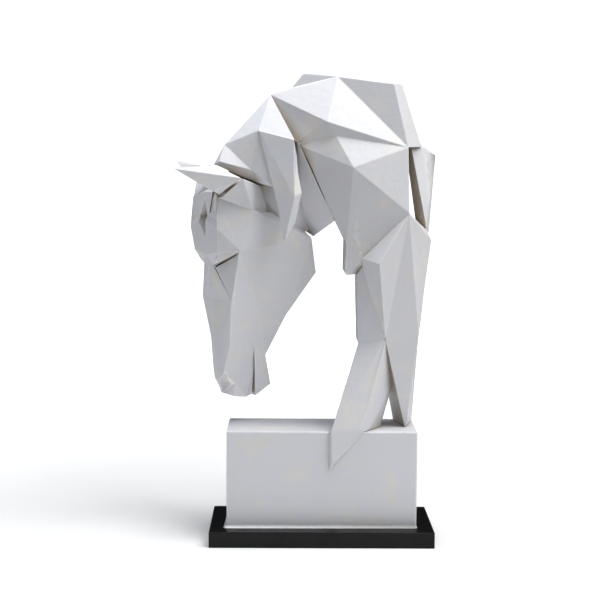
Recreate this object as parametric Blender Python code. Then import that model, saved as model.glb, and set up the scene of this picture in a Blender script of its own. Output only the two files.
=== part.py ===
"""Faceted horse head and forequarters on a white block and a black base slab.

Metres, +Z up. The origin is the middle of the base slab's underside, +X runs to the horse's rear
and -Y faces whoever looks at the near side. The figure is one casting. Each of its forms is a
closed faceted solid between named corners, and the forms are joined into one body.
"""
import math

import bmesh
import bpy
from mathutils import Vector

# Base slab
SLAB_LENGTH = 0.226
SLAB_DEPTH = 0.109
SLAB_HEIGHT = 0.016
SLAB_EDGE = 0.0008

# Plinth block, standing on the slab
BLOCK_LENGTH = 0.192
BLOCK_DEPTH = 0.075
BLOCK_HEIGHT = 0.0985
BLOCK_EDGE = 0.0015

# Gap between touching pieces
CLEARANCE = 0.0003

# Figure. Its corners are written in parts of its own height, 367 parts from hoof to crest
FIGURE_HEIGHT = 0.367
FIGURE_PARTS = 367.0
PART = FIGURE_HEIGHT / FIGURE_PARTS

# Shares of the figure's height that shape the forms
HEAD_TURN = math.radians(30.0)
HEAD_ACROSS = -27.0
HEAD_BEHIND = 84.0
CHEEK_HALF = 38.5
JOWL_HALF = 39.5
JAW_HALF = 45.0
BROW_HALF = 30.0
NOSE_HALF = 28.0
MUZZLE_HALF = 7.0
CHIN_HALF = 9.5
LOCK_THICKNESS = 9.0
LEG_BACK = 62.0
HOOF_FACE = -5.0
HOOF_DROP = -41.0
SINK = 4.0

# The spine seen from above: across the figure, and behind the block's front face
SPINE = ((-110.0, 44.0), (-55.0, 50.0), (8.0, 54.0), (60.0, 46.0), (95.0, 38.0), (130.0, 36.0))

WHITE_RESIN = (0.80, 0.79, 0.77, 1.0)
BLACK_LACQUER = (0.012, 0.012, 0.013, 1.0)

# Head, as (forward, to the near side, up) from the head's own upright middle plane
HEAD_CORNERS = {
    "forelock_root": (109, 0, 240),
    "brow_middle": (109, 3, 211),
    "eyes_middle": (106, 0, 175),
    "temple_top": (107, 26.5, 233.5),
    "ear_front": (103.5, 32, 234),
    "ear_back": (90.5, 51, 252.5),
    "nape_high": (64.5, 35.5, 246),
    "nape_low": (37, 20, 242),
    "nape_fold": (44.5, 17, 243.5),
    "ledge_fold": (49.5, 25, 218.5),
    "ledge_inner": (33, 22, 216),
    "ledge_outer": (10, 17, 207),
    "jowl_top": (73, JOWL_HALF, 221),
    "cheekbone": (87, CHEEK_HALF, 180.5),
    "jaw_corner": (7.5, JAW_HALF, 192),
    "jaw_back": (-17, 13.5, 154),
    "jaw_low": (23, 21, 112),
    "cheek_low": (55, 22, 119.5),
    "chin_back": (41, CHIN_HALF, 70),
    "orbit": (108.5, BROW_HALF - 0.5, 203),
    "forehead_low": (106, 0, 217),
    "brow_back": (106, 24, 210.5),
    "eyelid": (105.5, 25.5, 178.5),
    "tear_line": (101.5, 9, 165),
    "nose_root": (102, 5, 159.5),
    "nose_root_middle": (103.5, 0, 159.5),
    "nose_high": (93, NOSE_HALF + 4.5, 129.5),
    "nose_high_middle": (97.5, 0, 130),
    "nose_flank": (87.5, NOSE_HALF, 125),
    "nose_bevel": (93.3, 12.8, 89),
    "nose_low": (87.3, 18.2, 83.5),
    "nose_low_middle": (96, 0, 89),
    "lip_back": (57, 13.5, 81.5),
    "mouth_corner": (54.5, 9.2, 63.7),
    "mouth_depth": (54, 4, 31),
    "lip_edge": (58, 10, 30),
    "lip_low": (61, 5, 26.7),
    "lip_front": (77, 9, 29),
    "muzzle_low": (87, 3, 32.5),
    "muzzle_tip": (87, 1.5, 34),
    "muzzle_middle": (93, 0, 47),
    "muzzle_side": (74, MUZZLE_HALF, 41.2),
    "nostril_top": (91, 12, 56),
    "nostril_front": (93, 5, 47),
    "nostril_back": (84, 14, 43),
    "nostril_pit": (86, 5, 44),
    "chin_low": (34, 8, 39),
    "chin_front": (53, 9, 28),
}
HEAD_FACETS = (
    "forelock_root temple_top brow_back",
    "forelock_root brow_back forehead_low",
    "forehead_low brow_back orbit",
    "forehead_low orbit brow_middle",
    "temple_top orbit brow_back",
    "temple_top ear_front jowl_top",
    "temple_top jowl_top cheekbone",
    "temple_top cheekbone orbit",
    "brow_middle orbit eyes_middle",
    "orbit eyelid eyes_middle",
    "orbit cheekbone eyelid",
    "eyes_middle eyelid tear_line nose_root",
    "eyelid cheekbone tear_line",
    "cheekbone nose_high tear_line",
    "tear_line nose_high nose_root",
    "cheekbone cheek_low nose_flank",
    "cheekbone nose_flank nose_high",
    "ear_front ear_back jowl_top",
    "ear_back nape_high jowl_top",
    "nape_high nape_fold ledge_fold jowl_top",
    "nape_fold nape_low ledge_inner ledge_fold",
    "jowl_top ledge_fold ledge_inner",
    "jowl_top ledge_inner jaw_corner",
    "ledge_inner ledge_outer jaw_corner",
    "jowl_top jaw_corner cheekbone",
    "cheekbone jaw_corner jaw_low",
    "cheekbone jaw_low cheek_low",
    "jaw_corner jaw_back jaw_low",
    "cheek_low jaw_low chin_back",
    "cheek_low chin_back lip_back",
    "nose_flank cheek_low lip_back",
    "nose_flank lip_back nose_low",
    "nose_low lip_back mouth_corner",
    "nose_low mouth_corner muzzle_side",
    "muzzle_side mouth_corner lip_low",
    "nose_high nose_flank nose_low",
    "nose_high nose_low nose_bevel",
    "nose_bevel nose_low nostril_top",
    "nose_low muzzle_side nostril_back nostril_top",
    "nostril_top nostril_back nostril_pit",
    "nostril_back muzzle_tip nostril_pit",
    "muzzle_tip nostril_front nostril_pit",
    "nostril_front nostril_top nostril_pit",
    "nostril_back muzzle_side muzzle_low",
    "nostril_back muzzle_low muzzle_tip",
    "muzzle_low muzzle_side lip_low lip_front",
    "nose_bevel nostril_top nostril_front",
    "mouth_corner lip_edge lip_low",
    "mouth_corner mouth_depth lip_edge",
    "mouth_corner chin_front mouth_depth",
    "lip_back chin_back chin_low",
    "lip_back chin_low chin_front",
    "lip_back chin_front mouth_corner",
    "eyes_middle nose_root nose_root_middle",
    "nose_root nose_high nose_high_middle nose_root_middle",
    "nose_high nose_bevel nose_low_middle nose_high_middle",
    "nose_bevel nostril_front muzzle_middle nose_low_middle",
    "nostril_front muzzle_tip muzzle_middle",
)

# Neck and body forms, as (across, behind the block's front face, up from the block's top)
POLL_CORNERS = {
    "poll": (-99, 20, 286),
    "forelock_left": (-110, 17, 266),
    "forelock_top": (-104, 10, 269),
    "mane_fold": (-72, 13, 261),
    "lock_left": (-65, 13, 300),
    "neck_crest": (-54, 46, 337),
    "lock_right": (-30, -2, 291),
    "lock_notch": (-50, 3, 244),
    "mane_hem": (-66, 20, 248),
    "forelock_hem": (-106, 16, 265),
    "hem_middle": (-81, 18, 254),
    "neck_side": (-28, 30, 289),
}
POLL_FACETS = (
    "poll neck_crest lock_left",
    "neck_crest lock_right lock_left",
    "poll lock_left mane_fold",
    "poll mane_fold forelock_top",
    "poll forelock_top forelock_left",
    "lock_left lock_notch mane_fold",
    "mane_fold lock_notch mane_hem",
    "mane_fold mane_hem hem_middle",
    "forelock_top mane_fold hem_middle forelock_hem",
    "forelock_top forelock_hem forelock_left",
    "neck_crest neck_side lock_right",
)
BACK_CORNERS = {
    "neck_crest": (-54, 46, 337),
    "withers_side": (14, 42, 355),
    "neck_bulge": (3, 11, 309),
    "shoulder_rear": (84, 11, 284),
    "hollow": (12, 14, 295),
    "neck_side": (-28, 30, 289),
    "crest_1": (-33, 52, 344),
    "crest_2": (-21, 52, 358.5),
    "crest_3": (10, 54, 367),
    "crest_4": (43, 49, 363),
    "crest_5": (60, 38, 355),
    "back_end": (70, 24, 347),
}
BACK_FACETS = (
    "neck_crest withers_side neck_bulge",
    "withers_side shoulder_rear neck_bulge",
    "withers_side back_end shoulder_rear",
    "neck_crest crest_1 withers_side",
    "crest_1 crest_2 withers_side",
    "crest_2 crest_3 withers_side",
    "crest_3 crest_4 withers_side",
    "crest_4 crest_5 withers_side",
    "crest_5 back_end withers_side",
    "neck_crest neck_bulge neck_side",
    "neck_side neck_bulge hollow",
    "neck_bulge shoulder_rear hollow",
)
BACK_FAR = {
    "back_end": (80, 46, 348),
    "shoulder_rear": (100, 42, 285),
}
SHOULDER_CORNERS = {
    "neck_side": (-28, 30, 289),
    "throat_top": (-23, 28, 285),
    "hollow": (12, 14, 295),
    "shoulder_rear": (84, 11, 284),
    "shoulder_point": (29, -2, 264),
    "elbow": (85, 1, 219),
    "breast_1": (-20, 34, 264),
    "breast_2": (-10, 32, 248),
    "breast_3": (7, 30, 219),
    "breast_4": (12, 28, 211),
    "breast_low": (23, 11, 189),
    "breast_seam": (39, 13, 173),
    "breast_tip_1": (22, 24, 158),
    "breast_tip_2": (24, 27, 155.5),
    "breast_tip_3": (34, 30, 156),
    "breast_tip_4": (41, 24, 162),
}
SHOULDER_FACETS = (
    "neck_side hollow throat_top",
    "throat_top hollow shoulder_point",
    "hollow shoulder_rear shoulder_point",
    "shoulder_point shoulder_rear elbow",
    "shoulder_point elbow breast_seam",
    "shoulder_point breast_seam breast_low",
    "throat_top shoulder_point breast_low",
    "throat_top breast_low breast_4",
    "throat_top breast_4 breast_3",
    "throat_top breast_3 breast_2",
    "throat_top breast_2 breast_1",
    "breast_low breast_seam breast_tip_1",
    "breast_tip_1 breast_seam breast_tip_2",
    "breast_tip_2 breast_seam breast_tip_3",
    "breast_tip_3 breast_seam breast_tip_4",
)
SHOULDER_FAR = {
    "neck_side": (-28, 68, 300),
    "hollow": (12, 78, 306),
    "shoulder_rear": (76, 58, 296),
    "elbow": (80, 58, 200),
    "breast_seam": (39, 84, 160),
    "shoulder_point": (29, 88, 264),
}
LOCK_CORNERS = {
    "root_left": (-65, 11, 300),
    "root_right": (-30, -4, 291),
    "notch": (-50, 0, 244),
    "fold_end": (-29, -12, 235),
    "tip": (-38, -7, 192),
    "left_middle": (-44, -5, 219),
    "tip_left": (-40, -5, 193),
    "rim_1": (-27, 4, 275),
    "rim_2": (-26, 0, 260),
    "rim_3": (-22, -2, 239),
    "rim_4": (-28, -3, 210),
}
LOCK_FACETS = (
    "root_left fold_end root_right",
    "root_left notch fold_end",
    "notch left_middle fold_end",
    "left_middle tip fold_end",
    "left_middle tip_left tip",
    "root_right fold_end rim_1",
    "rim_1 fold_end rim_2",
    "rim_2 fold_end rim_3",
    "fold_end rim_4 rim_3",
    "fold_end tip rim_4",
)
ARM_CORNERS = {
    "elbow": (85, 1, 219),
    "arm_front": (39, 9, 173),
    "arm_ridge": (55, -10, 169),
    "knee": (63, 10, 92.5),
    "knee_rear": (97, 14, 95),
    "haunch_1": (96, 15, 208),
    "haunch_2": (105, 27, 201),
    "haunch_3": (110, 30, 191),
    "haunch_4": (104, 27, 147),
    "haunch_5": (100, 22, 111),
    "pocket_top": (40, 17, 165),
    "pocket_left": (34, 20, 156),
    "arm_fold": (49, 11, 134),
    "knee_front": (36, 20, 87),
}
ARM_FACETS = (
    "elbow arm_front arm_ridge",
    "elbow arm_ridge knee",
    "elbow knee knee_rear",
    "elbow knee_rear haunch_5",
    "elbow haunch_5 haunch_4",
    "elbow haunch_4 haunch_3",
    "elbow haunch_3 haunch_2",
    "elbow haunch_2 haunch_1",
    "arm_front pocket_top arm_fold",
    "arm_front arm_fold arm_ridge",
    "arm_ridge arm_fold knee",
    "pocket_top pocket_left knee_front",
    "pocket_top knee_front arm_fold",
    "arm_fold knee_front knee",
)

# Forms that bulge everywhere: each is the skin drawn tight over its corners
TIGHT_FORMS = {
    "near_foreleg": (
        (36, 20, 87), (63, 10, 92.5), (64, 46, 82), (42, 50, 81), (14.4, 14, 12.2),
        (9, HOOF_FACE, 1), (38, HOOF_FACE, 4), (72.5, 30, 44.5), (44, 2, -SINK),
        (59, 27, -SINK), (57, 38, -SINK), (17, 42, -SINK), (56, 30, 108),
    ),
    "hoof_blade": (
        (9, HOOF_FACE, 1), (38, HOOF_FACE, 4), (42, 0, -2), (42, SINK, -2),
        (10, HOOF_FACE, HOOF_DROP + 8), (7, 0, HOOF_DROP), (7, SINK, HOOF_DROP), (7, 0, 0),
        (7, SINK, 0), (24, 10, 16),
    ),
    "far_foreleg": (
        (63, 10, 92.5), (97, 14, 95), (98, 58, 88), (62, 52, 82), (71, 60, 24),
        (86, 28, 0), (95, 66, 0), (77, 70, 0), (86, 28, -SINK), (95, 66, -SINK), (77, 70, -SINK),
        (82, 34, 125),
    ),
    "rear_strut": (
        (85, 52, 287), (89, 32, 282), (117, 68, 277), (113, 54, 246), (91, 56, 257),
        (99, 36, 207), (104, 26, 206), (108, 38, 199), (100, 44, 285), (81, 42, 302), (99, 42, 181),
    ),
    "throat": (
        (-26.5, 12, 290.5), (-25, 20, 279.5), (-37, 34, 286), (12, 34, 210), (-19, 50, 207),
        (-9, 56, 193), (-29, 60, 206),
        (-28, 66, 285), (12, 74, 210), (-19, 68, 207), (-9, 70, 193), (-20, 38, 262),
    ),
    "nape": (
        (-99, 30, 284), (-70, 48, 256), (-40, 44, 252), (-28, 34, 285), (-54, 44, 330),
        (-90, 44, 215), (-30, 40, 195), (-12, 56, 200), (-54, 64, 320), (-95, 66, 270),
        (-30, 84, 200), (-85, 80, 220), (-20, 66, 285),
    ),
    "near_ear": (
        (-146, -30, 262), (-108, -14, 259), (-81, -8, 253), (-103, -8, 237), (-109, -12, 240),
        (-125, -18, 249), (-141, -14, 264), (-107, 4, 265), (-98, 16, 241),
    ),
    "far_ear": (
        (-104, 44, 246),
        (-149, 40, 270), (-145, 36, 264), (-124, 34, 265), (-117, 44, 269), (-120, 54, 262),
        (-104, 34, 258),
    ),
}

# Small forms on the head, in the head's own frame
HEAD_TIGHT_FORMS = {
    "eyelid": (
        (105, 24, 179), (89, 36.5, 181), (88, 39.5, 180), (92.3, 36, 178.5), (96.3, 31, 173.5),
        (100.3, 23.5, 170), (102, 12, 166), (102, 18, 178.5), (87.5, 33.5, 180.5), (94, 26, 173),
        (98, 5, 165.5),
    ),
    "forelock_strand": (
        (111, 6, 239.5), (109, 22, 239), (108.5, 14, 218), (105, -6, 239.5), (102, 8, 238.5),
        (104.5, 6, 217.5), (98, 8, 244),
    ),
    "temple_strand": (
        (109.5, 26, 238), (108.5, 30, 236), (107.5, 27, 217), (104.5, 16, 238), (102.5, 18, 217),
    ),
}
# Hollows in the head, in its own frame
HEAD_HOLLOWS = {
    "forehead_hollow": (
        (124, 4, 238), (124, -16, 215), (124, 4, 191), (124, 8, 215),
        (112.5, 4, 238), (112, -16, 214), (110, 4, 191), (112.5, 8, 214.5), (90, -6, 214),
    ),
    "eye_crease": (
        (97.4, 37, 176.5), (107.5, 14, 164), (97.4, 37, 171.5), (107.5, 14, 158.5),
        (86.2, 34.3, 177.5), (95.5, 9.5, 165.5),
    ),
}
# Of the head's small forms and hollows, these are the same on both sides
ON_BOTH_SIDES = ("eyelid", "eye_crease")


def clear_scene():
    """Remove whatever the scene holds."""
    for item in list(bpy.data.objects):
        bpy.data.objects.remove(item, do_unlink=True)


def make_material(name, colour, roughness):
    """Return a plain surface material."""
    material = bpy.data.materials.new(name)
    material.use_nodes = True
    shader = material.node_tree.nodes["Principled BSDF"]
    shader.inputs["Base Color"].default_value = colour
    shader.inputs["Roughness"].default_value = roughness
    shader.inputs["Metallic"].default_value = 0.0
    return material


def figure_place(corner):
    """Return the point in metres of a corner written in the figure's parts."""
    across, behind, up = corner
    seat_height = SLAB_HEIGHT + CLEARANCE + BLOCK_HEIGHT + CLEARANCE
    return Vector((across * PART, behind * PART - BLOCK_DEPTH / 2, seat_height + up * PART))


def head_place(corner):
    """Return the point in metres of a corner written in the head's own frame."""
    forward, side, up = corner
    across = HEAD_ACROSS - math.cos(HEAD_TURN) * forward + math.sin(HEAD_TURN) * side
    behind = HEAD_BEHIND - math.sin(HEAD_TURN) * forward - math.cos(HEAD_TURN) * side
    return figure_place((across, behind, up))


def spine_depth(across):
    """Return how far behind the block's front face the spine lies at a place across the figure."""
    if across <= SPINE[0][0]:
        return SPINE[0][1]
    for (left, left_depth), (right, right_depth) in zip(SPINE, SPINE[1:]):
        if across <= right:
            share = (across - left) / (right - left)
            return left_depth + share * (right_depth - left_depth)
    return SPINE[-1][1]


def other_side_of_head(corner):
    """Return the corner's twin across the head's middle plane."""
    forward, side, up = corner
    return (forward, -side, up)


def other_side_of_spine(corner):
    """Return the corner's twin across the spine."""
    across, behind, up = corner
    return (across, 2.0 * spine_depth(across) - behind, up)


def behind_lock(corner):
    """Return the corner's twin at the back of the hanging lock."""
    across, behind, up = corner
    return (across, behind + LOCK_THICKNESS, up)


def back_of_leg(corner):
    """Return the corner's twin on the leg's flat back."""
    across, behind, up = corner
    return (across, LEG_BACK, up)


def new_object(name, mesh_builder, materials):
    """Turn a bmesh into an object with its faces pointing out."""
    bmesh.ops.recalc_face_normals(mesh_builder, faces=mesh_builder.faces)
    mesh = bpy.data.meshes.new(name)
    mesh_builder.to_mesh(mesh)
    mesh_builder.free()
    for material in materials:
        mesh.materials.append(material)
    item = bpy.data.objects.new(name, mesh)
    bpy.context.scene.collection.objects.link(item)
    return item


def add_face(mesh_builder, corners):
    """Add a face over the corners, leaving out repeats and folded faces."""
    ring = []
    for vertex in corners:
        if vertex not in ring:
            ring.append(vertex)
    if len(ring) >= 3:
        mesh_builder.faces.new(ring)


def paired_form(name, corners, facets, twin, place, far=None):
    """Return a closed form: the near facets, their far twins, and the strips between their rims."""
    far = far or {}
    mesh_builder = bmesh.new()
    near_vertices = {}
    far_vertices = {}
    for label, corner in corners.items():
        near_point = place(corner)
        far_point = place(far.get(label, twin(corner)))
        near_vertices[label] = mesh_builder.verts.new(near_point)
        if (far_point - near_point).length < 1.5 * PART:
            far_vertices[label] = near_vertices[label]
        else:
            far_vertices[label] = mesh_builder.verts.new(far_point)
    edge_uses = {}
    for facet in facets:
        labels = facet.split()
        add_face(mesh_builder, [near_vertices[label] for label in labels])
        add_face(mesh_builder, [far_vertices[label] for label in reversed(labels)])
        for first, second in zip(labels, labels[1:] + labels[:1]):
            edge_uses.setdefault(frozenset((first, second)), []).append((first, second))
    for uses in edge_uses.values():
        if len(uses) > 1:
            continue
        first, second = uses[0]
        ring = (near_vertices[second], near_vertices[first], far_vertices[first], far_vertices[second])
        if len(set(ring)) > 2:
            add_face(mesh_builder, ring)
    wide_faces = [face for face in mesh_builder.faces if len(face.verts) > 3]
    bmesh.ops.triangulate(mesh_builder, faces=wide_faces)
    return new_object(name, mesh_builder, [])


def tight_form(name, corners, place):
    """Return the closed form whose skin is drawn tight over the corners."""
    mesh_builder = bmesh.new()
    for corner in corners:
        mesh_builder.verts.new(place(corner))
    result = bmesh.ops.convex_hull(mesh_builder, input=mesh_builder.verts)
    loose = set(result["geom_interior"]) | set(result["geom_unused"])
    loose_vertices = [element for element in loose if isinstance(element, bmesh.types.BMVert)]
    bmesh.ops.delete(mesh_builder, geom=loose_vertices, context="VERTS")
    return new_object(name, mesh_builder, [])


def head_forms(name, corners):
    """Return a small form of the head, and its twin where both sides have it."""
    forms = [tight_form(name + "_near", corners, head_place)]
    if name in ON_BOTH_SIDES:
        twin = [other_side_of_head(corner) for corner in corners]
        forms.append(tight_form(name + "_far", twin, head_place))
    return forms


def box(name, size, middle, materials):
    """Return a box of the given size around its middle."""
    mesh_builder = bmesh.new()
    bmesh.ops.create_cube(mesh_builder, size=1.0)
    for vertex in mesh_builder.verts:
        vertex.co = Vector(axis * length for axis, length in zip(vertex.co, size)) + Vector(middle)
    return new_object(name, mesh_builder, materials)


def as_guide(item):
    """Mark an object as a construction guide."""
    item.hide_render = True
    item.display_type = "WIRE"


def soften_edges(item, width):
    """Round an object's edges by the width."""
    bevel = item.modifiers.new("soft_edges", "BEVEL")
    bevel.width = width
    bevel.segments = 3
    bevel.limit_method = "ANGLE"


def combine(target, tool, operation):
    """Join or cut the target with the tool."""
    boolean = target.modifiers.new(tool.name, "BOOLEAN")
    boolean.operation = operation
    boolean.solver = "EXACT"
    boolean.object = tool
    as_guide(tool)


def build_base(black, white):
    """Build the base slab and the block on it."""
    slab = box(
        "base_slab",
        (SLAB_LENGTH, SLAB_DEPTH, SLAB_HEIGHT),
        (0.0, 0.0, SLAB_HEIGHT / 2),
        [black],
    )
    soften_edges(slab, SLAB_EDGE)
    block = box(
        "plinth_block",
        (BLOCK_LENGTH, BLOCK_DEPTH, BLOCK_HEIGHT),
        (0.0, 0.0, SLAB_HEIGHT + CLEARANCE + BLOCK_HEIGHT / 2),
        [white],
    )
    soften_edges(block, BLOCK_EDGE)


def build_figure(white):
    """Build the forms of the horse and join them into one casting."""
    figure = paired_form(
        "horse_figure", HEAD_CORNERS, HEAD_FACETS, other_side_of_head, head_place
    )
    figure.data.materials.append(white)
    forms = [
        paired_form("poll_form", POLL_CORNERS, POLL_FACETS, other_side_of_spine, figure_place),
        paired_form(
            "back_form", BACK_CORNERS, BACK_FACETS, other_side_of_spine, figure_place, BACK_FAR
        ),
        paired_form(
            "shoulder_form",
            SHOULDER_CORNERS,
            SHOULDER_FACETS,
            other_side_of_spine,
            figure_place,
            SHOULDER_FAR,
        ),
        paired_form("lock_form", LOCK_CORNERS, LOCK_FACETS, behind_lock, figure_place),
        paired_form("arm_form", ARM_CORNERS, ARM_FACETS, back_of_leg, figure_place),
    ]
    for name, corners in TIGHT_FORMS.items():
        forms.append(tight_form(name + "_form", corners, figure_place))
    for name, corners in HEAD_TIGHT_FORMS.items():
        forms.extend(head_forms(name, corners))
    for form in forms:
        combine(figure, form, "UNION")
    seat_top = SLAB_HEIGHT + CLEARANCE + BLOCK_HEIGHT + CLEARANCE
    seat = box(
        "seat_cutter",
        (BLOCK_LENGTH + 2 * CLEARANCE, BLOCK_DEPTH + 2 * CLEARANCE, seat_top),
        (0.0, 0.0, seat_top / 2),
        [],
    )
    combine(figure, seat, "DIFFERENCE")
    for name, corners in HEAD_HOLLOWS.items():
        for cutter in head_forms(name, corners):
            combine(figure, cutter, "DIFFERENCE")


def main():
    """Build the whole object."""
    clear_scene()
    white = make_material("white_resin", WHITE_RESIN, 0.5)
    black = make_material("black_lacquer", BLACK_LACQUER, 0.3)
    build_base(black, white)
    build_figure(white)


main()
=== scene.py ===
"""Looks of the faceted horse statue: white cast resin on a white block and a black slab.

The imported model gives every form. This script softens the cast ridges, runs the bead of resin
round the block's foot, gives each surface its finish, and sets up the floor, lamps and camera.
Lengths are in metres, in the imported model's own frame.
"""

import logging
import math
from dataclasses import dataclass
from enum import Enum
from typing import Any

import bmesh
import bpy
from mathutils import Matrix, Vector
from mathutils.bvhtree import BVHTree


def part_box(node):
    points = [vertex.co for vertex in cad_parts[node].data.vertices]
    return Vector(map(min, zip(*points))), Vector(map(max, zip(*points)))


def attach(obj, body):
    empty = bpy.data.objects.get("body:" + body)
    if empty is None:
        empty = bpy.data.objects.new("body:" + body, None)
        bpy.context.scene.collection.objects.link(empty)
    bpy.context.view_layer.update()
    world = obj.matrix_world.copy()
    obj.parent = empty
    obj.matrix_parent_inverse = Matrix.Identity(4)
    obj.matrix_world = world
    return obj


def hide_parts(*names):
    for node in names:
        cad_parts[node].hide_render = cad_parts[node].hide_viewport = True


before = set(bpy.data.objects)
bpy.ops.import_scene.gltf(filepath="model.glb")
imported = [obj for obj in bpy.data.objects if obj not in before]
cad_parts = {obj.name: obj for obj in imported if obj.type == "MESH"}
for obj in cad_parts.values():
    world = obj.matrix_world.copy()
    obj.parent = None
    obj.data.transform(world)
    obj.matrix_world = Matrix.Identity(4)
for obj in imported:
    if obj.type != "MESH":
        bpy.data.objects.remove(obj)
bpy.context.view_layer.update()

LOG = logging.getLogger("horse_statue")
PHOTO_SIDE = 600
FILM_WIDTH = 36.0

Colour = tuple[float, float, float]
Place = tuple[float, float, float]
Band = tuple[float, float]

FOLD_SAMPLES = 16
ROUND_SAMPLES = 6
MIX_LOW = 6
MIX_HIGH = 7
MIX_COLOUR = 2


class Slot(Enum):
    """The record's material slots."""

    FIGURE = "white_resin"
    BLOCK = "white_resin_block"
    SLAB = "black_lacquer"


class Node(Enum):
    """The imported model's nodes."""

    FIGURE = "horse_figure"
    BLOCK = "plinth_block"
    SLAB = "base_slab"


def rgba(colour: Colour) -> tuple[float, float, float, float]:
    """Return the colour with full opacity.

    Args:
        colour: red, green and blue.

    Returns:
        Red, green, blue and an opacity of 1.
    """
    return (colour[0], colour[1], colour[2], 1.0)


class Wire:
    """A number in a finish's node tree that takes part in Python expressions."""

    def __init__(self, sheet: "NodeSheet", socket: bpy.types.NodeSocket) -> None:
        """Keep the output socket and the sheet that it belongs to.

        Args:
            sheet: the finish's node tree.
            socket: the node's output that gives the number.
        """
        self.sheet = sheet
        self.socket = socket

    def __add__(self, other: "Wire | float") -> "Wire":
        """Return this value plus the other.

        Args:
            other: the other value.

        Returns:
            The sum.
        """
        return self.sheet.maths("ADD", self, other)

    def __radd__(self, other: "Wire | float") -> "Wire":
        """Return the other value plus this.

        Args:
            other: the other value.

        Returns:
            The sum.
        """
        return self.sheet.maths("ADD", other, self)

    def __sub__(self, other: "Wire | float") -> "Wire":
        """Return this value less the other.

        Args:
            other: the other value.

        Returns:
            The difference.
        """
        return self.sheet.maths("SUBTRACT", self, other)

    def __rsub__(self, other: "Wire | float") -> "Wire":
        """Return the other value less this.

        Args:
            other: the other value.

        Returns:
            The difference.
        """
        return self.sheet.maths("SUBTRACT", other, self)

    def __mul__(self, other: "Wire | float") -> "Wire":
        """Return this value times the other.

        Args:
            other: the other value.

        Returns:
            The product.
        """
        return self.sheet.maths("MULTIPLY", self, other)

    def __rmul__(self, other: "Wire | float") -> "Wire":
        """Return the other value times this.

        Args:
            other: the other value.

        Returns:
            The product.
        """
        return self.sheet.maths("MULTIPLY", other, self)

    def between(self, low: float, high: float) -> "Wire":
        """Return how far this value has come from low to high, held within 0 and 1.

        Args:
            low: the value that gives 0.
            high: the value that gives 1.

        Returns:
            The share as a wire.
        """
        node = self.sheet.add(
            "ShaderNodeMapRange",
            {"clamp": True, "interpolation_type": "SMOOTHSTEP"},
            {"Value": self, "From Min": low, "From Max": high, "To Min": 0.0, "To Max": 1.0},
        )
        return Wire(self.sheet, node.outputs["Result"])


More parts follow.
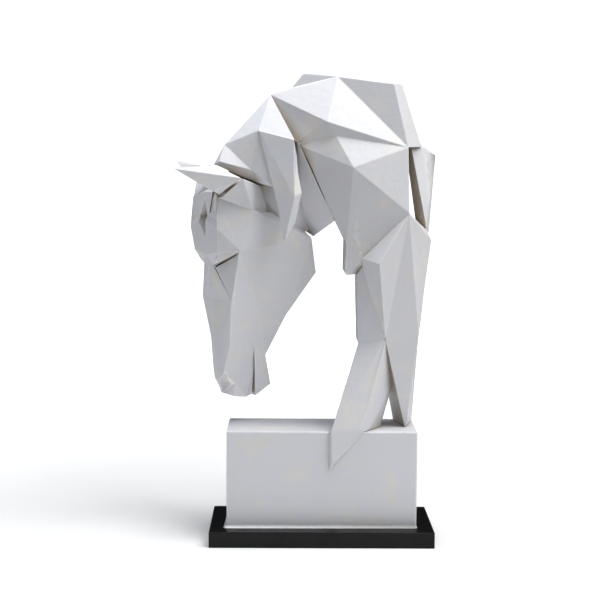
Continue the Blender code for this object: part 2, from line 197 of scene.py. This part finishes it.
class NodeSheet:
    """One finish's material and its node tree."""

    def __init__(self, name: str) -> None:
        """Start an empty material of that name.

        Args:
            name: the material's name.
        """
        self.material = bpy.data.materials.new(name)
        self.material.use_nodes = True
        self.tree = self.material.node_tree
        self.tree.nodes.clear()

    def add(self, kind: str, settings: dict[str, Any], inputs: dict[Any, Any]) -> bpy.types.Node:
        """Add one node, set it up and feed its sockets.

        Args:
            kind: the node's type.
            settings: its properties by name.
            inputs: a number, colour, wire or socket for each socket's name or place.

        Returns:
            The node.
        """
        node = self.tree.nodes.new(kind)
        for name, value in settings.items():
            setattr(node, name, value)
        for key, value in inputs.items():
            if isinstance(value, Wire):
                self.tree.links.new(value.socket, node.inputs[key])
            elif isinstance(value, bpy.types.NodeSocket):
                self.tree.links.new(value, node.inputs[key])
            else:
                node.inputs[key].default_value = value
        return node

    def maths(self, operation: str, first: Wire | float, second: Wire | float) -> Wire:
        """Return one sum of two values as a wire.

        Args:
            operation: the Math node's operation.
            first: the first value.
            second: the second value.

        Returns:
            The result.
        """
        node = self.add("ShaderNodeMath", {"operation": operation}, {0: first, 1: second})
        return Wire(self, node.outputs["Value"])

    def blend(self, share: Wire | float, low: Any, high: Any) -> bpy.types.NodeSocket:
        """Return the colour between low and high by share.

        Args:
            share: 0 for low and 1 for high.
            low: a colour, or the socket of one.
            high: a colour, or the socket of one.

        Returns:
            The colour's output socket.
        """
        settings = {"data_type": "RGBA", "clamp_factor": True}
        colours = [rgba(c) if isinstance(c, tuple) else c for c in (low, high)]
        inputs = {0: share, MIX_LOW: colours[0], MIX_HIGH: colours[1]}
        node = self.add("ShaderNodeMix", settings, inputs)
        return node.outputs[MIX_COLOUR]

    def place(self) -> bpy.types.NodeSocket:
        """Return the surface's own coordinates, in metres.

        Returns:
            The coordinates' output socket.
        """
        return self.add("ShaderNodeTexCoord", {}, {}).outputs["Object"]

    def cloud(self, features: float, detail: float = 2.0, roughness: float = 0.5) -> Wire:
        """Return a soft random field.

        Args:
            features: how many features there are in a metre.
            detail: how many finer layers it has.
            roughness: how strong the finer layers are.

        Returns:
            The field, from 0 to 1 round a middle of a half.
        """
        inputs = {
            "Vector": self.place(),
            "Scale": features,
            "Detail": detail,
            "Roughness": roughness,
        }
        node = self.add("ShaderNodeTexNoise", {"noise_dimensions": "3D"}, inputs)
        return Wire(self, node.outputs["Fac"])

    def fold(self, reach: float) -> Wire:
        """Return how deep in a fold the surface lies.

        Args:
            reach: how far away a neighbouring surface still counts.

        Returns:
            0 in the open and towards 1 in a tight fold.
        """
        node = self.add("ShaderNodeAmbientOcclusion", {"samples": FOLD_SAMPLES}, {"Distance": reach})
        return 1.0 - Wire(self, node.outputs["AO"])

    def rounded(self, radius: float) -> bpy.types.NodeSocket:
        """Return the normal of the surface with its edges rounded over.

        Args:
            radius: the rounding's radius.

        Returns:
            The normal's output socket.
        """
        node = self.add("ShaderNodeBevel", {"samples": ROUND_SAMPLES}, {"Radius": radius})
        return node.outputs["Normal"]

    def ridge(self, radius: float) -> Wire:
        """Return 0 on a flat face and towards 1 within the radius of an edge.

        Args:
            radius: how far from the edge the mask begins.

        Returns:
            The mask.
        """
        flat = self.add("ShaderNodeNewGeometry", {}, {}).outputs["True Normal"]
        parts = {0: self.rounded(radius), 1: flat}
        node = self.add("ShaderNodeVectorMath", {"operation": "DOT_PRODUCT"}, parts)
        return 1.0 - Wire(self, node.outputs["Value"])

    def relief(self, height: Wire, depth: float, normal: Any = None) -> bpy.types.NodeSocket:
        """Return the normal of the surface with fine relief on it.

        Args:
            height: the relief, from 0 to 1.
            depth: how deep the relief is, in metres.
            normal: the normal it is laid on, if not the surface's own.

        Returns:
            The normal's output socket.
        """
        inputs = {"Height": height, "Distance": depth, "Strength": 1.0}
        if normal is not None:
            inputs["Normal"] = normal
        return self.add("ShaderNodeBump", {}, inputs).outputs["Normal"]

    def finish(self, fixed: dict[str, Any], varying: dict[str, Any]) -> bpy.types.Material:
        """Close the tree with the shader.

        Args:
            fixed: the shader's values that are the same all over.
            varying: the wires and sockets that change over the surface.

        Returns:
            The material.
        """
        shader = self.add("ShaderNodeBsdfPrincipled", {}, {**fixed, **varying})
        self.add("ShaderNodeOutputMaterial", {}, {"Surface": shader.outputs["BSDF"]})
        return self.material


@dataclass(frozen=True)
class CastResin:
    """White painted cast resin, matt, with warm painted shade in its folds and worn paint with a
    painted highlight on its ridges.

    Attributes:
        name: the material's name.
        face: the paint in the open.
        warm: the paint where it is a little warmer.
        cool: the paint where it is a little cooler.
        shade: the warm painted shade in the folds, and the tone of the fine specks.
        rim: the paler tone on the ridges, partly worn paint and partly a painted highlight.
        fold_reach: how far from a neighbouring face the painted shade reaches.
        fold_depth: how strong the painted shade is in the tightest fold.
        rim_width: how far from a ridge the paler ridge tone reaches.
        rim_strength: how strongly the paler ridge tone shows.
        edge_radius: the rounding of the finest edges.
        mottle: patches of warmer and cooler paint in a metre.
        grain: grains in a metre in the paint film.
        grain_depth: how deep the grain is.
        ripple: hand-smoothed waves in a metre.
        ripple_depth: how deep the waves are.
        roughness: the paint's roughness.
        warm_band: the range of the patches over which the paint turns warm.
        cool_band: the range of the patches over which the paint turns cool.
        speck_band: the range of the grain over which a speck shows.
        speck_strength: how strongly a speck shows.
        rim_band: how far the surface turns where the paler ridge tone begins and is full.
        rim_clearance: how many rim widths of open air a ridge needs for its paler tone.
        air_band: how closed in a ridge is where its paler tone fades and has gone.
        wear: patches of wear in a metre along the ridges.
        wear_band: the range of the wear over which the paler ridge tone shows.
        fold_band: how deep in a fold the painted shade begins and is full.
        patch_gloss: how much the patches change the roughness.
        rim_gloss: how much smoother the paint is under the paler ridge tone.
        fold_roughening: how much rougher the paint is where the painted shade lies in the folds.
        ior: the paint's index of refraction.
        specular: the strength of the paint's sheen.
    """

    name: str
    face: Colour = (0.775, 0.775, 0.80)
    warm: Colour = (0.81, 0.795, 0.775)
    cool: Colour = (0.76, 0.775, 0.815)
    shade: Colour = (0.47, 0.41, 0.33)
    rim: Colour = (0.93, 0.93, 0.93)
    fold_reach: float = 0.030
    fold_depth: float = 0.95
    rim_width: float = 0.0016
    rim_strength: float = 0.75
    edge_radius: float = 0.0007
    mottle: float = 38.0
    grain: float = 950.0
    grain_depth: float = 0.00010
    ripple: float = 130.0
    ripple_depth: float = 0.00028
    roughness: float = 0.52
    warm_band: Band = (0.52, 0.70)
    cool_band: Band = (0.54, 0.72)
    speck_band: Band = (0.60, 0.80)
    speck_strength: float = 0.18
    rim_band: Band = (0.0006, 0.05)
    rim_clearance: float = 2.0
    air_band: Band = (0.05, 0.30)
    wear: float = 210.0
    wear_band: Band = (0.25, 0.6)
    fold_band: Band = (0.26, 0.90)
    patch_gloss: float = 0.16
    rim_gloss: float = 0.10
    fold_roughening: float = 0.20
    ior: float = 1.47
    specular: float = 0.38

    def material(self) -> bpy.types.Material:
        """Return the finish as a material.

        Returns:
            The material.
        """
        sheet = NodeSheet(self.name)
        patches = sheet.cloud(self.mottle, 3.0, 0.55)
        paint = sheet.blend(patches.between(*self.warm_band), self.face, self.warm)
        paint = sheet.blend((1.0 - patches).between(*self.cool_band), paint, self.cool)
        specks = sheet.cloud(self.grain, 3.0, 0.7)
        dirt = specks.between(*self.speck_band) * self.speck_strength
        paint = sheet.blend(dirt, paint, self.shade)
        # Paler ridges: partly worn paint and partly a painted highlight, kept off the closed-in
        # folds.
        air_reach = self.rim_width * self.rim_clearance
        open_air = 1.0 - sheet.fold(air_reach).between(*self.air_band)
        rim = sheet.ridge(self.rim_width).between(*self.rim_band) * open_air
        # This holds the paler ridge tone, partly worn paint and partly a painted highlight.
        rubbed = rim * self.rim_strength * sheet.cloud(self.wear).between(*self.wear_band)
        paint = sheet.blend(rubbed, paint, self.rim)
        # Painted shade: deep in the folds, where shade falls, the paint turns to the warm shade
        # colour.
        deep = sheet.fold(self.fold_reach).between(*self.fold_band)
        paint = sheet.blend(deep * self.fold_depth, paint, self.shade)
        grain = sheet.relief(specks, self.grain_depth, sheet.rounded(self.edge_radius))
        film = sheet.relief(sheet.cloud(self.ripple, 1.0), self.ripple_depth, grain)
        gloss = self.roughness + self.patch_gloss * (patches - 0.5)
        gloss = gloss - self.rim_gloss * rim + self.fold_roughening * deep
        fixed = {"IOR": self.ior, "Specular IOR Level": self.specular}
        return sheet.finish(fixed, {"Base Color": paint, "Roughness": gloss, "Normal": film})


@dataclass(frozen=True)
class BlackLacquer:
    """Black lacquer on wood, satin, with a faint orange peel, dust on top and rubbed arrises.

    Attributes:
        name: the material's name.
        body: the lacquer.
        dust: the fine dust that lies on it.
        rubbed: the lacquer on the rubbed arrises.
        roughness: the lacquer's roughness.
        peel: waves in a metre in the lacquer film.
        peel_depth: how deep the waves are.
        arris: how far from an edge the rubbing reaches.
        arris_band: how far the surface turns where the rubbing begins and is full.
        arris_strength: how strongly the rubbing shows.
        wear: patches of wear in a metre along the arrises.
        wear_band: the range of the wear over which the rubbing shows.
        drift: drifts of dust in a metre.
        drift_band: the range of the drifts over which dust lies.
        specks: specks of dust in a metre.
        speck_band: the range of the specks over which one shows.
        speck_strength: how strongly a speck shows.
        smears: wiping marks in a metre.
        smear_gloss: how much the wiping marks change the roughness.
        dust_gloss: how much rougher the dust is.
        arris_gloss: how much rougher the rubbed arrises are.
        edge_radius: the rounding of the finest edges.
        ior: the lacquer's index of refraction.
        specular: the strength of the lacquer's sheen.
    """

    name: str
    body: Colour = (0.0045, 0.0045, 0.005)
    dust: Colour = (0.16, 0.155, 0.15)
    rubbed: Colour = (0.030, 0.030, 0.031)
    roughness: float = 0.30
    peel: float = 420.0
    peel_depth: float = 0.00004
    arris: float = 0.0014
    arris_band: Band = (0.01, 0.2)
    arris_strength: float = 0.8
    wear: float = 160.0
    wear_band: Band = (0.35, 0.65)
    drift: float = 55.0
    drift_band: Band = (0.45, 0.75)
    specks: float = 2400.0
    speck_band: Band = (0.66, 0.74)
    speck_strength: float = 0.25
    smears: float = 30.0
    smear_gloss: float = 0.14
    dust_gloss: float = 0.12
    arris_gloss: float = 0.08
    edge_radius: float = 0.0006
    ior: float = 1.5
    specular: float = 0.45

    def material(self) -> bpy.types.Material:
        """Return the finish as a material.

        Returns:
            The material.
        """
        sheet = NodeSheet(self.name)
        worn = sheet.cloud(self.wear).between(*self.wear_band)
        edge = sheet.ridge(self.arris).between(*self.arris_band) * worn
        lacquer = sheet.blend(edge * self.arris_strength, self.body, self.rubbed)
        drift = sheet.cloud(self.drift, 4.0, 0.6).between(*self.drift_band)
        specks = sheet.cloud(self.specks, 2.0).between(*self.speck_band)
        lacquer = sheet.blend(specks * drift * self.speck_strength, lacquer, self.dust)
        smear = sheet.cloud(self.smears, 3.0, 0.6)
        gloss = self.roughness + self.smear_gloss * (smear - 0.5)
        gloss = gloss + self.dust_gloss * drift + self.arris_gloss * edge
        edge_normal = sheet.rounded(self.edge_radius)
        skin = sheet.relief(sheet.cloud(self.peel), self.peel_depth, edge_normal)
        fixed = {"IOR": self.ior, "Specular IOR Level": self.specular}
        return sheet.finish(fixed, {"Base Color": lacquer, "Roughness": gloss, "Normal": skin})


@dataclass(frozen=True)
class Paper:
    """Pale matt studio paper, with a faint tooth, that shines by itself where it is given a glow.

    Attributes:
        name: the material's name.
        tone: the paper.
        glow: how brightly the paper shines by itself near the statue.
        edge_glow: how brightly it shines at the floor's edge and beyond.
        near: how far from the statue the glow begins to change.
        far: how far from the statue it has changed.
        tooth: grains in a metre of the paper's tooth.
        tooth_depth: how deep the tooth is.
        roughness: the paper's roughness.
        specular: the strength of the paper's sheen.
    """

    name: str
    tone: Colour = (0.86, 0.86, 0.86)
    glow: float = 0.0
    edge_glow: float = 0.0
    near: float = 0.35
    far: float = 1.0
    tooth: float = 300.0
    tooth_depth: float = 0.0001
    roughness: float = 0.9
    specular: float = 0.1

    def material(self) -> bpy.types.Material:
        """Return the finish as a material.

        Returns:
            The material.
        """
        sheet = NodeSheet(self.name)
        tooth = sheet.relief(sheet.cloud(self.tooth), self.tooth_depth)
        reach = sheet.add("ShaderNodeVectorMath", {"operation": "LENGTH"}, {0: sheet.place()})
        far = Wire(sheet, reach.outputs["Value"]).between(self.near, self.far)
        low = (self.glow, self.glow, self.glow)
        high = (self.edge_glow, self.edge_glow, self.edge_glow)
        fixed = {
            "Base Color": rgba(self.tone),
            "Roughness": self.roughness,
            "Specular IOR Level": self.specular,
            "Emission Strength": 1.0,
        }
        glow = sheet.blend(far, low, high)
        return sheet.finish(fixed, {"Normal": tooth, "Emission Color": glow})


def dress(piece: bpy.types.Object, material: bpy.types.Material) -> None:
    """Give the whole piece one material.

    Args:
        piece: the mesh object.
        material: its finish.
    """
    piece.data.materials.clear()
    piece.data.materials.append(material)


def link_mesh(name: str, builder: bmesh.types.BMesh) -> bpy.types.Object:
    """Turn a finished mesh into an object of the scene.

    Args:
        name: the object's name.
        builder: the mesh, which is freed.

    Returns:
        The object.
    """
    bmesh.ops.recalc_face_normals(builder, faces=builder.faces)
    mesh = bpy.data.meshes.new(name)
    builder.to_mesh(mesh)
    builder.free()
    piece = bpy.data.objects.new(name, mesh)
    bpy.context.scene.collection.objects.link(piece)
    return piece


@dataclass
class HorseCasting:
    """The horse, one faceted casting whose ridges and folds are rounded over.

    Attributes:
        finish: its paint.
        rounding: how wide the strip is that each ridge and fold is rounded by.
        rows: how many faces the strip has across.
        flat: two faces that turn by less than this, in degrees, are one flat face.
        turned: edges that turn by more than this, in degrees, are rounded over.
        crisp: faces narrower than this many roundings keep their own edges.
        weld: points closer than this are one point.
    """

    # Its paint has painted shade in the folds and worn paint with a painted highlight on the ridges.
    finish: CastResin = CastResin(Slot.FIGURE.value)
    rounding: float = 0.0005
    rows: int = 2
    flat: float = 1.0
    turned: float = 4.0
    crisp: float = 1.6
    weld: float = 0.00001

    def softened(self) -> bpy.types.Object:
        """Return the casting with rounded edges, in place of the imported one.

        Returns:
            The casting.
        """
        packed = bpy.data.objects[Node.FIGURE.value]
        builder = bmesh.new()
        builder.from_mesh(packed.data)
        bmesh.ops.remove_doubles(builder, verts=builder.verts, dist=self.weld)
        bmesh.ops.dissolve_limit(
            builder,
            angle_limit=math.radians(self.flat),
            verts=builder.verts,
            edges=builder.edges,
        )
        skin = BVHTree.FromBMesh(builder)
        narrow = {face for face in builder.faces if self.is_narrow(face)}
        turned = [
            edge
            for edge in builder.edges
            if edge.is_manifold
            and math.degrees(edge.calc_face_angle(0.0)) > self.turned
            and not any(face in narrow for face in edge.link_faces)
        ]
        bmesh.ops.bevel(
            builder,
            geom=turned,
            offset=self.rounding,
            offset_type="OFFSET",
            segments=self.rows,
            profile=0.5,
            affect="EDGES",
            clamp_overlap=False,
        )
        for corner in builder.verts:
            nearest, _, _, distance = skin.find_nearest(corner.co)
            if distance > self.rounding:
                corner.co = nearest
        bmesh.ops.triangulate(builder, faces=builder.faces)
        casting = link_mesh("horse_casting", builder)
        casting.matrix_world = packed.matrix_world
        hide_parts(Node.FIGURE.value)
        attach(casting, "root")
        return casting

    def is_narrow(self, face: bmesh.types.BMFace) -> bool:
        """Return whether a face is too narrow for its edges to be rounded over.

        Args:
            face: the face.

        Returns:
            True where the rounding would cross it.
        """
        return 2 * face.calc_area() / face.calc_perimeter() < self.crisp * self.rounding

    def build(self) -> bpy.types.Object:
        """Round the casting over, dress it and return it.

        Returns:
            The dressed casting.
        """
        casting = self.softened()
        dress(casting, self.finish.material())
        return casting


@dataclass
class PlinthBlock:
    """The white block and the bead of resin that beds it on the slab.

    Attributes:
        finish: the block's paint.
        bead: how far the bead stands out from the block's foot.
        steps: how many faces the bead's hollow has.
        bead_lift: how far the bead climbs the block's face.
        flare: how far the bead spreads at the block's front left corner.
        sunk: how far the bead's inner side lies inside the block.
        corner_radius: the rounding of the block's upright edges.
        corner_steps: how many faces the bead has round each corner.
    """

    # Its paint has painted shade in the folds and worn paint with a painted highlight on the edges.
    finish: CastResin = CastResin(
        Slot.BLOCK.value,
        face=(0.775, 0.78, 0.81),
        mottle=26.0,
        ripple=60.0,
        rim_strength=0.9,
        rim_width=0.0022,
        fold_depth=0.7,
    )
    bead: float = 0.0012
    steps: int = 5
    bead_lift: float = 0.0030
    flare: float = 0.0022
    sunk: float = 0.0004
    corner_radius: float = 0.0016
    corner_steps: int = 4

    def foot_bead(self) -> bpy.types.Object:
        """Return the hollow bead that runs round the block's foot.

        Returns:
            The bead.
        """
        low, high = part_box(Node.BLOCK.value)
        centre = (low + high) / 2
        half = (high - low) / 2
        builder = bmesh.new()
        rings = []
        for step in range(self.steps + 1):
            turn = math.pi / 2 * step / self.steps
            out = self.bead * (1.0 - math.sin(turn))
            lift = self.bead_lift * (1.0 - math.cos(turn))
            rings.append(self.ring(builder, centre, half, out, low.z + lift))
        inner = self.ring(builder, centre, half, -self.sunk, low.z + self.bead_lift)
        inner_foot = self.ring(builder, centre, half, -self.sunk, low.z)
        rings += [inner, inner_foot]
        for lower, upper in zip(rings, rings[1:] + rings[:1]):
            for index in range(len(lower)):
                following = (index + 1) % len(lower)
                quad = (lower[index], lower[following], upper[following], upper[index])
                builder.faces.new(quad)
        return link_mesh("foot_bead", builder)

    def ring(
        self,
        builder: bmesh.types.BMesh,
        centre: Vector,
        half: Vector,
        out: float,
        height: float,
    ) -> list[bmesh.types.BMVert]:
        """Return one round of the bead at a distance from the block's faces.

        Args:
            builder: the mesh that it goes into.
            centre: the block's middle.
            half: half of the block's size.
            out: how far the round stands out from the faces.
            height: how high the round lies.

        Returns:
            The round's points in order.
        """
        points = []
        for quarter, (side_x, side_y) in enumerate(((1, 1), (-1, 1), (-1, -1), (1, -1))):
            spread = self.flare * max(out, 0.0) / self.bead if (side_x, side_y) == (-1, -1) else 0.0
            reach = self.corner_radius + out + spread
            hub_x = centre.x + side_x * (half.x - self.corner_radius)
            hub_y = centre.y + side_y * (half.y - self.corner_radius)
            for step in range(self.corner_steps + 1):
                turn = math.pi / 2 * (quarter + step / self.corner_steps)
                place = (hub_x + reach * math.cos(turn), hub_y + reach * math.sin(turn), height)
                points.append(builder.verts.new(place))
        return points

    def build(self) -> list[bpy.types.Object]:
        """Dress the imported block, add its bead and return both.

        Returns:
            The block and the bead.
        """
        block = bpy.data.objects[Node.BLOCK.value]
        paint = self.finish.material()
        dress(block, paint)
        bead = self.foot_bead()
        dress(bead, paint)
        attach(bead, "root")
        return [block, bead]


@dataclass
class BaseSlab:
    """The black slab that everything stands on.

    Attributes:
        finish: its lacquer.
    """

    finish: BlackLacquer = BlackLacquer(Slot.SLAB.value)

    def build(self) -> bpy.types.Object:
        """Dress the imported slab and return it.

        Returns:
            The slab.
        """
        slab = bpy.data.objects[Node.SLAB.value]
        dress(slab, self.finish.material())
        return slab


@dataclass
class Lamp:
    """One soft studio lamp, aimed at the statue.

    Attributes:
        name: the lamp's name.
        place: where it hangs.
        width: the width of its soft face.
        power: its power in watts.
        colour: its colour.
        aim: the point that it faces.
    """

    name: str
    place: Place
    width: float
    power: float
    colour: Colour = (1.0, 1.0, 1.0)
    aim: Place = (0.0, 0.0, 0.28)

    def build(self) -> bpy.types.Object:
        """Hang the lamp and return it.

        Returns:
            The lamp.
        """
        light = bpy.data.lights.new(self.name, "AREA")
        light.shape = "SQUARE"
        light.size = self.width
        light.energy = self.power
        light.color = self.colour
        lamp = bpy.data.objects.new(self.name, light)
        bpy.context.scene.collection.objects.link(lamp)
        lamp.location = self.place
        beam = Vector(self.aim) - Vector(self.place)
        lamp.rotation_euler = beam.to_track_quat("-Z", "Y").to_euler()
        return lamp


@dataclass
class Studio:
    """The pale floor, the white surround beyond it, the lamps and the room's own light.

    Attributes:
        floor_middle: the radius of the floor's one flat face in the middle.
        floor_reach: the radius of the floor.
        wall_reach: how far away the surround's wall stands.
        wall_height: how high the wall is.
        sides: how many sides the round floor and wall have.
        floor_paper: the floor's paper.
        surround_paper: the surround's paper, which only the camera sees.
        room_light: the strength of the light from all sides.
        room_tint: the colour of that light.
        contrast: the gamma of the finished picture.
    """

    floor_middle: float = 0.3
    floor_reach: float = 1.0
    wall_reach: float = 3.2
    wall_height: float = 4.0
    sides: int = 96
    # The floor has a painted glow, faint near the statue and brighter towards its edge.
    floor_paper: Paper = Paper("floor_paper", glow=0.12, edge_glow=0.52)
    surround_paper: Paper = Paper("surround_paper", glow=1.1, edge_glow=1.1)
    room_light: float = 0.06
    room_tint: Colour = (0.93, 0.955, 1.0)
    contrast: float = 0.8
    lamps: tuple[Lamp, ...] = (
        Lamp("key_softbox", (0.95, -0.63, 2.0), 1.3, 33.0, (1.0, 0.995, 0.985)),
        Lamp("overhead_softbox", (0.0, -0.1, 2.2), 0.9, 19.0, (0.98, 0.99, 1.0)),
        Lamp("front_overhead_softbox", (0.0, -1.2, 2.0), 0.9, 4.5, (0.92, 0.95, 1.0)),
        Lamp("left_softbox", (-1.9, 0.0, 0.9), 1.0, 3.4, (0.90, 0.94, 1.0)),
        Lamp("left_high_softbox", (-1.4, -0.3, 1.7), 0.9, 3.2, (0.92, 0.95, 1.0)),
        Lamp("right_softbox", (1.9, 0.0, 0.7), 1.0, 1.4, (1.0, 0.985, 0.96)),
        Lamp("right_back_softbox", (1.5, 0.9, 0.9), 0.9, 2.0, (1.0, 0.99, 0.98)),
        Lamp("left_back_softbox", (-1.4, 0.9, 0.9), 0.9, 4.6, (0.94, 0.965, 1.0)),
    )

    def sheet(
        self, name: str, profile: list[tuple[float, float]], filled: bool
    ) -> bpy.types.Object:
        """Return a round sheet of paper turned from a profile.

        Args:
            name: the sheet's name.
            profile: its radius and height, point by point.
            filled: whether the first round is closed with a face.

        Returns:
            The sheet.
        """
        builder = bmesh.new()
        rows = []
        for radius, height in profile:
            row = []
            for side in range(self.sides):
                turn = 2 * math.pi * side / self.sides
                place = (radius * math.cos(turn), radius * math.sin(turn), height)
                row.append(builder.verts.new(place))
            rows.append(row)
        if filled:
            builder.faces.new(rows[0])
        for inner, outer in zip(rows, rows[1:]):
            for side in range(self.sides):
                following = (side + 1) % self.sides
                builder.faces.new((inner[side], inner[following], outer[following], outer[side]))
        piece = link_mesh(name, builder)
        for face in piece.data.polygons:
            face.use_smooth = True
        return piece

    def build(self) -> None:
        """Lay the floor, stand the surround and hang the lamps."""
        rounds = [(self.floor_middle, 0.0), (self.floor_reach, 0.0)]
        floor = self.sheet("floor", rounds, filled=True)
        dress(floor, self.floor_paper.material())
        surround = self.sheet(
            "surround",
            [
                (self.floor_reach, 0.0),
                (self.wall_reach, 0.0),
                (self.wall_reach, self.wall_height),
            ],
            filled=False,
        )
        dress(surround, self.surround_paper.material())
        surround.visible_diffuse = False
        surround.visible_glossy = False
        surround.visible_shadow = False
        for lamp in self.lamps:
            lamp.build()
        world = bpy.data.worlds.new("room")
        world.use_nodes = True
        light = world.node_tree.nodes["Background"]
        light.inputs["Color"].default_value = rgba(self.room_tint)
        light.inputs["Strength"].default_value = self.room_light
        bpy.context.scene.world = world
        bpy.context.scene.view_settings.view_transform = "Standard"
        bpy.context.scene.view_settings.gamma = self.contrast


@dataclass
class PhotoCamera:
    """The camera at the photograph's place.

    Attributes:
        place: where it stands.
        pitch: how far it looks down, in radians.
        yaw: how far it turns to the right.
        roll: how far it leans.
        focal_pixels: the focal length in pixels of the photograph.
    """

    place: Place = (-0.0355, -1.423, 0.381)
    pitch: float = 0.096
    yaw: float = 0.009
    roll: float = 0.006
    focal_pixels: float = 1400.0

    def build(self) -> bpy.types.Object:
        """Stand the camera and return it.

        Returns:
            The camera.
        """
        data = bpy.data.cameras.new("photo_camera")
        data.sensor_width = FILM_WIDTH
        data.lens = self.focal_pixels / PHOTO_SIDE * FILM_WIDTH
        camera = bpy.data.objects.new("photo_camera", data)
        bpy.context.scene.collection.objects.link(camera)
        level = math.cos(self.pitch)
        forward = Vector(
            (math.sin(self.yaw) * level, math.cos(self.yaw) * level, -math.sin(self.pitch))
        )
        flat_right = Vector((math.cos(self.yaw), -math.sin(self.yaw), 0.0))
        flat_up = flat_right.cross(forward)
        right = flat_right * math.cos(self.roll) + flat_up * math.sin(self.roll)
        up = flat_up * math.cos(self.roll) - flat_right * math.sin(self.roll)
        turn = Matrix((right, up, -forward)).transposed().to_4x4()
        camera.matrix_world = Matrix.Translation(self.place) @ turn
        bpy.context.scene.camera = camera
        return camera


def main() -> None:
    """Build the statue's looks and the studio round it."""
    logging.basicConfig(level=logging.INFO, format="%(message)s")
    casting = HorseCasting().build()
    LOG.info("dressed %s", casting.name)
    for piece in PlinthBlock().build():
        LOG.info("dressed %s", piece.name)
    slab = BaseSlab().build()
    LOG.info("dressed %s", slab.name)
    Studio().build()
    camera = PhotoCamera().build()
    LOG.info("camera %s stands at %s", camera.name, tuple(camera.location))


if __name__ == "__main__":
    main()
